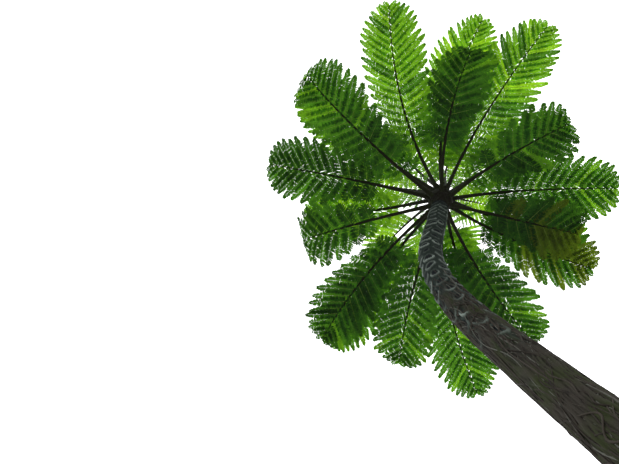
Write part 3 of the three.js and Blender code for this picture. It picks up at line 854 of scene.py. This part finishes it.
def bark_material(name, bark):
    """Tree fern trunk, dead fibrous tissue, dark and matt. The lower rims of the scars are worn
    pale and carry grey lichen, scar faces are dark, and moss holds on the mat of roots. The
    hollows between the roots are darkened as painted shade, the grooves between the fibres partly
    by their grain and partly as painted shade, and the face mask also brings painted shade of the
    crown under the crown head. Fibres are 6 mm wide and four times as long, and patches of lichen
    and moss
    20 cm across."""
    material, add, place = start_material(name)
    long = add("ShaderNodeMapping", {"Scale": (1, 1, 0.25)}, {"Vector": place})
    fibre = add(
        "ShaderNodeTexNoise", {"Scale": 160, "Detail": 5, "Roughness": 0.65}, {"Vector": long},
    )
    patch = add("ShaderNodeTexNoise", {"Scale": 5, "Detail": 5}, {"Vector": place})
    rim, face, bare, hollow = (
        add("ShaderNodeAttribute", attribute_name=key, out="Fac")
        for key in ("rim", "face", "bare", "hollow")
    )
    lichen = add("ShaderNodeMapRange", {"From Min": 0.42, "From Max": 0.62}, {"Value": patch})
    mossy = add("ShaderNodeMath", {1: 0.7}, {0: lichen}, operation="MULTIPLY")
    crest = add(
        "ShaderNodeMix", {MIX_A: bark.root_colour, MIX_B: bark.moss_colour}, {0: mossy},
        **COLOURS,
    )
    # Painted shade: the deeper a place lies between the roots, the more it takes the dark hollow
    # colour
    depth = add("ShaderNodeMapRange", {"From Min": -0.6, "From Max": 0.7}, {"Value": hollow})
    roots = add(
        "ShaderNodeMix", {MIX_B: bark.hollow_shade_and_dark_rootlet_colour}, {0: depth, MIX_A: crest}, **COLOURS,
    )
    patchy = add("ShaderNodeMapRange", {"To Min": 0.5, "To Max": 1.1}, {"Value": lichen})
    worn = add(
        "ShaderNodeMath", None, {0: rim, 1: patchy}, operation="MULTIPLY", use_clamp=True,
    )
    # Fibres: dark in the grooves between them, partly their grain and partly painted shade
    stem = add(
        "ShaderNodeMix", {MIX_A: bark.hollow_shade_and_dark_rootlet_colour, MIX_B: bark.stem_colour}, {0: fibre},
        **COLOURS,
    )
    for share, over in ((face, bark.scar_face_and_crown_shade_colour), (worn, bark.rim_colour)):
        stem = add("ShaderNodeMix", {MIX_B: over}, {0: share, MIX_A: stem}, **COLOURS)
    colour = add("ShaderNodeMix", None, {0: bare, MIX_A: roots, MIX_B: stem}, **COLOURS)
    bump = add("ShaderNodeBump", {"Strength": 0.7, "Distance": 0.004}, {"Height": fibre})
    skin_shader = add(
        "ShaderNodeBsdfPrincipled", {"Roughness": 0.92, "Specular IOR Level": 0.08},
        {"Base Color": colour, "Normal": bump},
    )
    add("ShaderNodeOutputMaterial", None, {"Surface": skin_shader})
    return material


def mottled_material(name, light, dark, feature, roughness):
    """Dry plant matter or a matt floor: two close tones in blotches of a given size."""
    material, add, place = start_material(name)
    blotch = add("ShaderNodeTexNoise", {"Scale": 1 / feature, "Detail": 3}, {"Vector": place})
    colour = add("ShaderNodeMix", {MIX_A: light, MIX_B: dark}, {0: blotch}, **COLOURS)
    skin_shader = add(
        "ShaderNodeBsdfPrincipled", {"Roughness": roughness, "Specular IOR Level": 0.15},
        {"Base Color": colour},
    )
    add("ShaderNodeOutputMaterial", None, {"Surface": skin_shader})
    return material


def studio_dome(settings):
    """A white dome of soft light that is bright overhead and dimmer towards the horizon: its
    strength rises smoothly with the height of the direction that is looked in."""
    world = bpy.data.worlds.new("Soft studio dome")
    world.use_nodes = True
    world.node_tree.nodes.clear()
    add = partial(add_node, world.node_tree)
    way = add("ShaderNodeTexCoord", out="Generated")
    height = add("ShaderNodeSeparateXYZ", None, {"Vector": way}, out="Z")
    limits = {
        "From Min": 0.1, "From Max": 0.75,
        "To Min": settings.side_strength, "To Max": settings.top_strength,
    }
    strength = add(
        "ShaderNodeMapRange", limits, {"Value": height}, interpolation_type="SMOOTHSTEP",
    )
    sky = add("ShaderNodeBackground", {"Color": settings.dome_colour}, {"Strength": strength})
    add("ShaderNodeOutputWorld", None, {"Surface": sky})
    return world


# Settings

def colour_property(name, description, code):
    """A colour that a user may pick, with an sRGB hex code as its default."""
    return FloatVectorProperty(
        name=name, description=description, default=linear(code), size=4, subtype="COLOR",
        min=0, max=1,
    )


def length_property(name, description, default):
    """A length in metres that a user may change."""
    return FloatProperty(name=name, description=description, default=default, unit="LENGTH")


def number_property(name, description, default):
    """A share, an angle in degrees or a strength that a user may change."""
    return FloatProperty(name=name, description=description, default=default)


def count_property(name, description, default):
    """A count that a user may change."""
    return IntProperty(name=name, description=description, default=default, min=3)


class TrunkSettings(bpy.types.PropertyGroup):
    """Sizes and colours of the bark."""

    trunk_columns: count_property("Columns", "Points round each ring of the trunk", 192)
    scar_ranks: count_property("Scar ranks", "Upright ranks of frond scars round the trunk", 6)
    scar_pitch: length_property("Scar pitch", "Height from one scar of a rank to the next", 0.095)
    scar_width: length_property("Scar width", "Width of a frond scar", 0.09)
    scar_height: length_property("Scar height", "Height of a frond scar", 0.07)
    root_count: count_property("Roots", "Matted roots round the trunk in one layer", 43)
    root_height: length_property("Root height", "How far a root stands out", 0.019)
    root_top: length_property("Root top", "Height where roots start to hide the scars", 5.5)
    rootlet_count: count_property("Rootlets", "Thin loose roots over the bark", 720)
    rootlet_radius: length_property("Rootlet radius", "Radius of a thin loose root", 0.0042)
    bark_sunk: length_property("Bark sunk", "How far the bark lies inside the solid", 0.004)
    stem_colour: colour_property("Stem", "Fibres between the scars", "#384540")
    # Scar faces, and also the painted shade of the crown over the stretch under the crown head
    scar_face_and_crown_shade_colour: colour_property("Scar face and crown shade", "Face inside a scar", "#1B2022")
    rim_colour: colour_property("Scar rim", "Worn rim of a scar", "#9DAAA2")
    root_colour: colour_property("Root", "Crest of a root", "#3B3832")
    # Dark painted shade in hollows between roots and fibres, and the dark tone of living rootlets
    hollow_shade_and_dark_rootlet_colour: colour_property("Hollow", "Hollows between roots and fibres", "#0D0C0A")
    moss_colour: colour_property("Moss", "Moss and lichen on the roots", "#303A1C")
    rootlet_colour: colour_property("Rootlet", "Living thin root", "#453F37")
    dead_rootlet_colour: colour_property("Dead rootlet", "Weathered thin root", "#6F746C")


class FrondSettings(bpy.types.PropertyGroup):
    """Sizes and colours of the fronds."""

    leaflet_pitch: length_property("Leaflet pitch", "Spacing of the leaflets on the rib", 0.11)
    leaflet_droop: number_property("Leaflet droop", "Fall of a tip over the length", 0.13)
    leaflet_fullness: number_property("Leaflet fullness", "Width over spacing", 1.76)
    lobe_pitch: length_property("Lobe pitch", "Spacing of the lobes on a leaflet", 0.023)
    lobe_fullness: number_property("Lobe fullness", "Lobe width over lobe spacing", 1.2)
    lobe_dip: number_property("Lobe dip", "Droop of the lobes in degrees", 6)
    clearance: length_property("Clearance", "Least gap between leaflets of two fronds", 0.03)
    stalk_upper_colour: colour_property("Stalk top", "Upper side of a stalk", "#4E6A2A")
    stalk_colour: colour_property("Stalk", "Underside of a stalk", "#262C17")
    stalk_base_colour: colour_property("Stalk base", "Aged side of a stalk", "#120F0C")
    scale_colour: colour_property("Scale", "Chaffy scales", "#8A6A34")
    scale_dark_colour: colour_property("Dark scale", "Older chaffy scales", "#2A1D10")


class StageSettings(bpy.types.PropertyGroup):
    """Light, floor and camera."""

    floor_radius: length_property("Floor radius", "Half width of the floor", 400)
    floor_colour: colour_property("Floor", "Pale matt floor", "#92918D")
    floor_shade: colour_property("Floor shade", "Darker blotches of the floor", "#8B8A86")
    dome_colour: colour_property("Dome", "Light from overhead and all round", "#F8F8FA")
    side_strength: number_property("Side strength", "Brightness at the horizon", 0.65)
    top_strength: number_property("Top strength", "Brightness overhead", 2.6)


class FERN_OT_trunk(bpy.types.Operator):
    """Make the bark of the trunk, in a lower and an upper stretch, and the thin roots on it"""

    bl_idname = "fern.trunk"
    bl_label = "Trunk"

    def execute(self, context):
        settings = context.scene.fern_trunk
        bark = bark_material("Fibrous fern bark", settings)
        for name, low, high, rings in (
            ("trunk_foot", 0, BARK_JOIN, FOOT_RINGS),
            ("trunk_stem", BARK_JOIN, HEAD_BASE[2], STEM_RINGS),
        ):
            points, faces, masks = trunk_stretch(settings, low, high, rings)
            piece = add_piece(name, points, faces, [bark], attributes=masks)
            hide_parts("trunk")
        looks = [
            mottled_material(name, dark, light, 0.05, 0.85)
            for name, dark, light in (
                ("Living rootlet", settings.hollow_shade_and_dark_rootlet_colour, settings.rootlet_colour),
                ("Brown rootlet", settings.root_colour, settings.rootlet_colour),
                ("Weathered rootlet", settings.rootlet_colour, settings.dead_rootlet_colour),
            )
        ]
        tones = np.random.default_rng(62).choice(3, settings.rootlet_count, p=(0.6, 0.25, 0.15))
        points, faces = tubes(*rootlet_paths(settings), circle(4))
        add_piece("trunk_rootlets", points, faces, looks, tones)
        return {"FINISHED"}


class FERN_OT_crown_head(bpy.types.Operator):
    """Make the crown head that the stalks grow from"""

    bl_idname = "fern.crown_head"
    bl_label = "Crown head"

    def execute(self, context):
        settings = context.scene.fern_fronds
        height = np.linspace(0, HEAD_HEIGHTS[-1], HEAD_RINGS)[:, None]
        angle = TURN * np.arange(HEAD_COLUMNS) / HEAD_COLUMNS
        east = unit(EAST - HEAD_AXIS * HEAD_AXIS[0])
        around = swing(angle, east, np.cross(HEAD_AXIS, east))
        lumps = ripples(41, angle[None], height, (5, 8, 13, 21), (0.3, 0.2, 0.11, 0.07))
        plain = np.interp(height, HEAD_HEIGHTS, HEAD_RADII)
        radius = plain * (1 + HEAD_LUMPS * lumps) - HEAD_SUNK
        centre = HEAD_BASE + height * HEAD_AXIS
        points, faces = skin(centre[:, None] + radius[..., None] * around, centre[0], centre[-1])
        look = stalk_material(
            "Old stalk bases", settings.stalk_base_colour, linear("#1C1712"), 0.012,
        )
        piece = add_piece("crown_head_bark", points, faces, [look])
        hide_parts("crown_head")
        return {"FINISHED"}


class FERN_OT_stalks(bpy.types.Operator):
    """Make the stalk and rib of each frond"""

    bl_idname = "fern.stalks"
    bl_label = "Stalks"

    def execute(self, context):
        settings = context.scene.fern_fronds
        frames = []
        for number, frond in enumerate(FRONDS):
            distance = frond[3] * np.linspace(0, 1, STALK_RINGS)
            place, _, right, top = rib_frame(frond, number, distance)
            swell = 1 + STALK_SWELL * np.exp(-distance / SWELL_LENGTH)
            frames.append((place, -right, top, rib_half_width(frond, distance) * swell))
        section = circle(STALK_CORNERS)
        highest = section[:, 1] == section[:, 1].max()
        section[:, 1] *= np.where(highest, STALK_GROOVE, STALK_FLATNESS)
        points, faces = tubes(*[np.stack(values) for values in zip(*frames)], section)
        look = stalk_material(
            "Frond stalk", settings.stalk_colour, settings.stalk_base_colour, 0.006,
            settings.stalk_upper_colour,
        )
        upper = np.tile(np.append(np.tile(section[:, 1], STALK_RINGS), [0, 0]), len(FRONDS))
        add_piece("frond_stalks", points, faces, [look], attributes={"upper": upper})
        return {"FINISHED"}


class FERN_OT_blades(bpy.types.Operator):
    """Make the leaflets of the fronds, two pieces of lobes for each whorl and a piece of ribs"""

    bl_idname = "fern.blades"
    bl_label = "Blades"

    def execute(self, context):
        settings = context.scene.fern_fronds
        grown = [grow_leaflets(frond, number, settings) for number, frond in enumerate(FRONDS)]
        leaflets = {key: np.concatenate([part[key] for part in grown]) for key in grown[0]}
        kept = keep_clear(leaflets, settings.clearance)
        looks = [
            leaf_material(name, linear(upper), linear(through), roughness)
            for name, (upper, through, roughness) in LEAF_TONES.items()
        ]
        for whorl in WHORLS:
            whole = [number for number, frond in enumerate(FRONDS) if frond[0] == whorl]
            for part, numbers in enumerate((whole[::2], whole[1::2]), start=1):
                chosen = np.isin(kept["frond"], numbers)
                mine = {key: values[chosen] for key, values in kept.items()}
                points, faces, tones, folds = leaflet_lobes(mine, settings)
                piece = add_piece(
                    f"leaves_{whorl}_{part}", points, faces, looks, tones,
                    {"fold": folds},
                )
                starts = tuple(f"frond_{number + 1:02d}" for number in numbers)
                nodes = [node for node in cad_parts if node.startswith(starts)]
                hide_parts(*nodes)
        length = kept["length"][:, None]
        out = np.linspace(0, 1, LEAFLET_RIB_RINGS)[None] + np.zeros((len(length), 1))
        side = (kept["across"] * kept["side"][:, None])[:, None].repeat(LEAFLET_RIB_RINGS, axis=1)
        above = kept["top"][:, None].repeat(LEAFLET_RIB_RINGS, axis=1)
        radii = LEAFLET_RIB_RADIUS * (1 - LEAFLET_RIB_TAPER * out) * (0.5 + length)
        points, faces = tubes(leaflet_point(kept, out), side, above, radii, circle(4))
        look = stalk_material("Leaflet rib", linear("#8CA054"), linear("#60762F"), 0.01)
        add_piece("leaflet_ribs", points, faces, [look])
        return {"FINISHED"}


class FERN_OT_croziers(bpy.types.Operator):
    """Make the coiled young fronds at the apex"""

    bl_idname = "fern.croziers"
    bl_label = "Coiled fronds"

    def execute(self, context):
        settings = context.scene.fern_fronds
        path, side, above, radii = crozier_paths(CROZIER_RINGS)
        points, faces = tubes(path, side, above, radii * CROZIER_BARE_SHARE, circle(12))
        look = stalk_material("Coiled frond", linear("#6B6A2C"), settings.scale_dark_colour, 0.008)
        piece = add_piece("coiled_fronds", points, faces, [look])
        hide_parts(*[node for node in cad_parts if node.startswith("crozier")])
        return {"FINISHED"}


class FERN_OT_scales(bpy.types.Operator):
    """Make the chaffy scales on the stalk bases and on the coiled fronds"""

    bl_idname = "fern.scales"
    bl_label = "Scales"

    def execute(self, context):
        settings = context.scene.fern_fronds
        rng = np.random.default_rng(51)
        count, length, narrow = STALK_SCALES
        roots = []
        ways = []
        for number, frond in enumerate(FRONDS):
            distance = SCALES_START + rng.exponential(SCALES_SPREAD, count)
            place, forward, right, top = rib_frame(frond, number, distance)
            outward = swing(rng.uniform(0, TURN, count), right, top)
            roots.append(place + outward * rib_half_width(frond, distance)[:, None] * 0.9)
            ways.append(unit(outward + forward * rng.uniform(0.6, 2.2, (count, 1))))
        points, faces = scales(np.concatenate(roots), np.concatenate(ways), length, narrow, 52)
        look = mottled_material(
            "Dark stalk scales", settings.scale_dark_colour, settings.stalk_base_colour, 0.02, 0.6,
        )
        add_piece("stalk_scales", points, faces, [look])
        count, length, narrow = COIL_SCALES
        path, side, above, radii = crozier_paths(CROZIER_RINGS)
        coil = np.repeat(np.arange(len(CROZIERS)), count)
        at = rng.integers(4, CROZIER_RINGS, len(coil))
        outward = swing(rng.uniform(0, TURN, len(coil)), side[coil, at], above[coil, at])
        roots = path[coil, at] + outward * radii[coil, at][:, None] * 0.85
        ways = unit(outward + 0.7 * unit(rng.normal(0, 1, (len(coil), 3))))
        points, faces = scales(roots, ways, length, narrow, 53)
        look = mottled_material(
            "Golden scales", settings.scale_colour, settings.scale_dark_colour, 0.02, 0.6,
        )
        add_piece("coil_scales", points, faces, [look])
        return {"FINISHED"}


class FERN_OT_stage(bpy.types.Operator):
    """Make the pale floor, the soft studio light and the camera"""

    bl_idname = "fern.stage"
    bl_label = "Stage"

    def execute(self, context):
        settings = context.scene.fern_stage
        scene = context.scene
        rim = settings.floor_radius * np.pad(circle(96), ((0, 0), (0, 1)))
        mesh = bpy.data.meshes.new("floor")
        mesh.from_pydata(rim.tolist(), [], [range(len(rim))])
        look = mottled_material(
            "Pale matt floor", settings.floor_colour, settings.floor_shade, 0.5, 0.95,
        )
        mesh.materials.append(look)
        floor = bpy.data.objects.new("floor", mesh)
        scene.collection.objects.link(floor)
        scene.world = studio_dome(settings)

        aim = Vector((
            IMAGE_SIZE[0] / 2 - ZENITH_PIXEL[0], IMAGE_SIZE[1] / 2 - ZENITH_PIXEL[1], FOCAL_PIXELS,
        )).normalized()
        right = (Vector((1, 0, 0)) - aim * aim.x).normalized()
        turn = Matrix((right, right.cross(aim), -aim)).transposed()
        camera = bpy.data.objects.new("camera", bpy.data.cameras.new("camera"))
        camera.data.sensor_width = SENSOR_WIDTH
        camera.data.lens = FOCAL_PIXELS / IMAGE_SIZE[0] * SENSOR_WIDTH
        camera.matrix_world = Matrix.Translation(CAMERA_PLACE) @ turn.to_4x4()
        scene.collection.objects.link(camera)
        scene.camera = camera
        scene.view_settings.view_transform = "Standard"
        return {"FINISHED"}


SETTINGS = {
    "fern_trunk": TrunkSettings,
    "fern_fronds": FrondSettings,
    "fern_stage": StageSettings,
}
OPERATORS = [
    FERN_OT_trunk, FERN_OT_crown_head, FERN_OT_stalks, FERN_OT_blades, FERN_OT_croziers,
    FERN_OT_scales, FERN_OT_stage,
]


class FERN_PT_panel(bpy.types.Panel):
    """Lists the steps that make the fern"""

    bl_idname = "FERN_PT_panel"
    bl_label = "Tree Fern"
    bl_space_type = "VIEW_3D"
    bl_region_type = "UI"
    bl_category = "Tree Fern"

    def draw(self, context):
        for operator in OPERATORS:
            self.layout.operator(operator.bl_idname)


CLASSES = [*SETTINGS.values(), *OPERATORS, FERN_PT_panel]


def register():
    """Registers the classes and hangs the settings on the scene."""
    for kind in CLASSES:
        bpy.utils.register_class(kind)
    for name, kind in SETTINGS.items():
        setattr(bpy.types.Scene, name, PointerProperty(type=kind))


def unregister():
    """Takes the settings and the classes away again."""
    for name in SETTINGS:
        delattr(bpy.types.Scene, name)
    for kind in reversed(CLASSES):
        bpy.utils.unregister_class(kind)


def main():
    """Makes every piece."""
    register()
    bpy.ops.fern.trunk()
    bpy.ops.fern.crown_head()
    bpy.ops.fern.stalks()
    bpy.ops.fern.blades()
    bpy.ops.fern.croziers()
    bpy.ops.fern.scales()
    bpy.ops.fern.stage()


if __name__ == "__main__":
    main()
